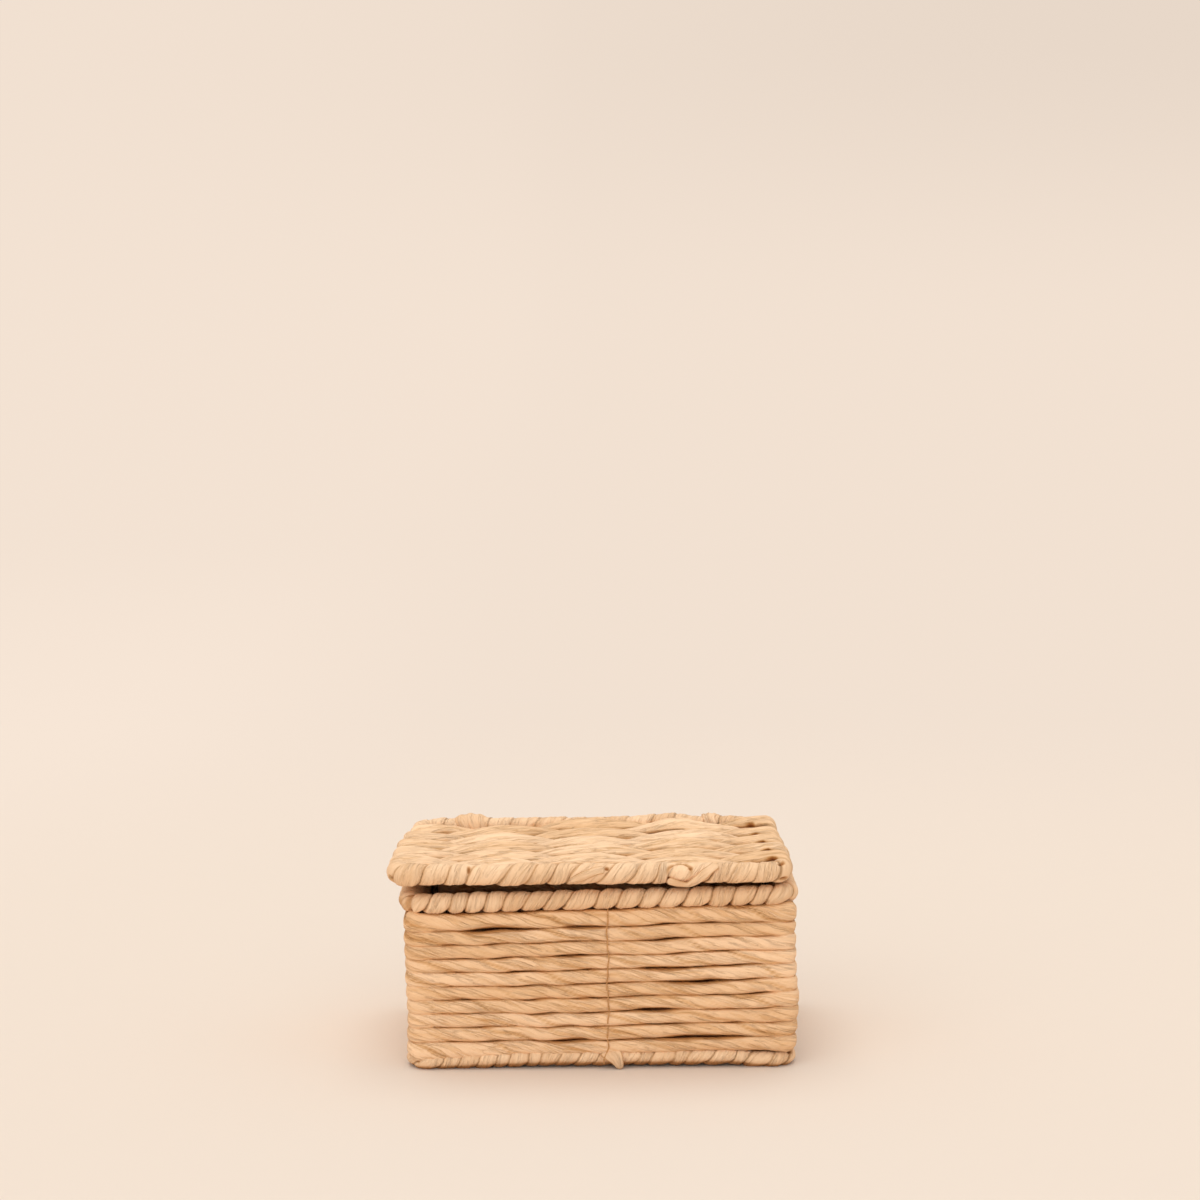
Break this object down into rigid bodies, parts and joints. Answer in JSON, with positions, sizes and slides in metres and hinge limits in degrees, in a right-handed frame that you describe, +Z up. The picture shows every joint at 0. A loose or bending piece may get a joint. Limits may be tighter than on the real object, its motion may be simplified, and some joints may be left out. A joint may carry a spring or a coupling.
{
  "type": "woven lidded box",
  "caption": "Rectangular keepsake box of twisted paper rope woven on a wire frame, with strip-wrapped rims and a woven lid hinged at the rear by paper loops.",
  "frame": {"origin": "centre of the footprint, on the surface that the box stands on", "axes": "+X along the front from left to right, +Y from front to rear, +Z up"},
  "size_m": [0.1259, 0.0856, 0.0659],
  "materials": {
    "paper_rope": "matt twisted paper, tan",
    "paper_strip": "matt crinkled paper strip, pale tan",
    "frame_wire": "dull drawn wire",
    "binding_thread": "matt brown thread"
  },
  "bodies": {
    "box": {"base_frame_wire": "frame_wire", "rim_frame_wire": "frame_wire", "corner_post_front_left": "frame_wire", "corner_post_front_right": "frame_wire", "corner_post_rear_right": "frame_wire", "corner_post_rear_left": "frame_wire", "floor_cross_wire_1": "frame_wire", "floor_cross_wire_2": "frame_wire", "floor_cross_wire_3": "frame_wire", "floor_cross_wire_4": "frame_wire", "floor_cross_wire_5": "frame_wire", "wall_rope": "paper_rope", "floor_rope": "paper_rope", "rim_wrap_front": "paper_strip", "rim_wrap_right": "paper_strip", "rim_wrap_rear": "paper_strip", "rim_wrap_left": "paper_strip", "base_wrap_front": "paper_strip", "base_wrap_right": "paper_strip", "base_wrap_rear": "paper_strip", "base_wrap_left": "paper_strip", "hinge_loop_left": "paper_strip", "hinge_loop_right": "paper_strip", "front_binding_thread": "binding_thread", "rear_binding_thread": "binding_thread"},
    "lid": {"lid_frame_wire": "frame_wire", "lid_cross_wire_1": "frame_wire", "lid_cross_wire_2": "frame_wire", "lid_cross_wire_3": "frame_wire", "lid_rope": "paper_rope", "lid_wrap_front": "paper_strip", "lid_wrap_rear": "paper_strip"}
  },
  "joints": [
    {"name": "lid_hinge", "type": "hinge", "parent": "box", "child": "lid", "pos_m": [0, 0.038, 0.0611], "axis": [-1, 0, 0], "range_deg": [0, 180]}
  ]
}
